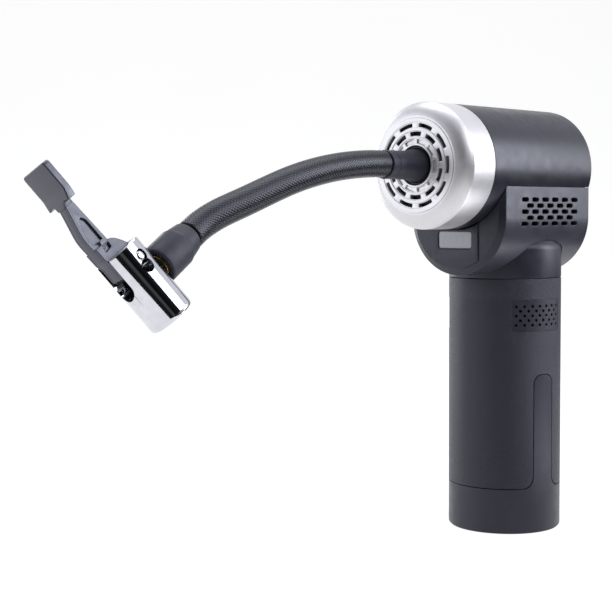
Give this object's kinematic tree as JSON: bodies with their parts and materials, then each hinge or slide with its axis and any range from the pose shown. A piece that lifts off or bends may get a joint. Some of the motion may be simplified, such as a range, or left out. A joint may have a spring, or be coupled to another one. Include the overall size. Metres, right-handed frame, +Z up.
{
  "type": "cordless air pump",
  "caption": "Hammer-shaped cordless air pump: round barrel with slotted silver nose, display, cylindrical grip and a short braided hose ending in a lever-lock valve chuck.",
  "frame": {"origin": "centre of the handle's flat base", "axes": "+Z up along the handle, -Y towards the nose, the grille and the hose, +X to the side that carries the left side cover"},
  "size_m": [0.0576, 0.2985, 0.2022],
  "materials": {
    "silver": "satin",
    "dark_plastic": "matte",
    "body_plastic": "satin",
    "housing_plastic": "satin",
    "lens": "gloss",
    "board": "satin",
    "steel": "satin",
    "grip_rubber": "matte",
    "nylon": "satin",
    "brass": "satin",
    "alloy": "satin",
    "soft_tube": "matte",
    "hose_braid": "matte",
    "plated_alloy": "polished",
    "cell": "satin"
  },
  "bodies": {
    "pump": {"side_cover_left": "housing_plastic", "side_cover_right": "housing_plastic", "front_grille": "silver", "vent_insert_left": "housing_plastic", "vent_insert_right": "housing_plastic", "rear_cover": "body_plastic", "nose_ring": "silver", "base_cap": "body_plastic", "handle_core": "body_plastic", "chuck_body": "plated_alloy", "grip_sleeve": "grip_rubber", "head_barrel": "body_plastic", "hose_fitting": "dark_plastic", "battery_tray": "nylon", "battery_bracket": "nylon", "outlet_socket": "dark_plastic", "pump_frame": "alloy", "hose_tube": "hose_braid", "chuck_sleeve": "dark_plastic", "motor_can": "steel", "pump_cylinder": "alloy", "display_panel": "body_plastic", "motor_end_cap": "nylon", "cylinder_head": "alloy", "chuck_barb": "brass", "grille_screen": "dark_plastic", "hose_ferrule": "dark_plastic", "rear_screw_4": "steel", "rear_screw_3": "steel", "outlet_pipe": "soft_tube", "rear_screw_1": "steel", "rear_screw_2": "steel", "chuck_plunger": "brass", "battery_cell_1": "cell", "battery_cell_2": "cell", "battery_cell_3": "cell", "base_screw_1": "steel", "base_screw_2": "steel", "base_screw_3": "steel", "chuck_seal": "soft_tube", "hose_seal": "soft_tube", "usb_inlet": "steel", "main_board": "board", "display_lens": "lens", "key_board": "board", "chuck_pin": "steel", "display_module": "board", "charge_board": "board"},
    "power_key": {"power_key": "dark_plastic"},
    "plus_key": {"plus_key": "dark_plastic"},
    "minus_key": {"minus_key": "dark_plastic"},
    "crank": {"crankshaft": "steel", "crank_gear": "nylon"},
    "rotor": {"motor_rotor": "steel", "pinion": "brass"},
    "piston": {"piston": "nylon"},
    "lever": {"chuck_lever": "dark_plastic"}
  },
  "joints": [
    {"name": "power_key_press", "type": "slide", "parent": "pump", "child": "power_key", "axis": [0, -1, 0], "range_m": [0, 0.0008], "stiffness_N_per_m": 700},
    {"name": "plus_key_press", "type": "slide", "parent": "pump", "child": "plus_key", "axis": [0, -1, 0], "range_m": [0, 0.0008], "stiffness_N_per_m": 700},
    {"name": "minus_key_press", "type": "slide", "parent": "pump", "child": "minus_key", "axis": [0, -1, 0], "range_m": [0, 0.0008], "stiffness_N_per_m": 700},
    {"name": "crank_spin", "type": "hinge", "parent": "pump", "child": "crank", "pos_m": [0, -0.012, 0.15865], "axis": [0, 1, 0], "continuous": true},
    {"name": "motor_spin", "type": "hinge", "parent": "pump", "child": "rotor", "pos_m": [0, 0.005, 0.178], "axis": [0, 1, 0], "continuous": true},
    {"name": "piston_stroke", "type": "slide", "parent": "pump", "child": "piston", "axis": [0, 0, 1], "range_m": [-0.009, 0]},
    {"name": "lever_flip", "type": "hinge", "parent": "pump", "child": "lever", "pos_m": [0.00066, -0.23511, 0.13409], "axis": [0.9277, -0.083, 0.364], "range_deg": [0, 78]}
  ],
  "couplings": [
    {"joint": "crank_spin", "follows": "motor_spin", "ratio": -0.22857}
  ]
}
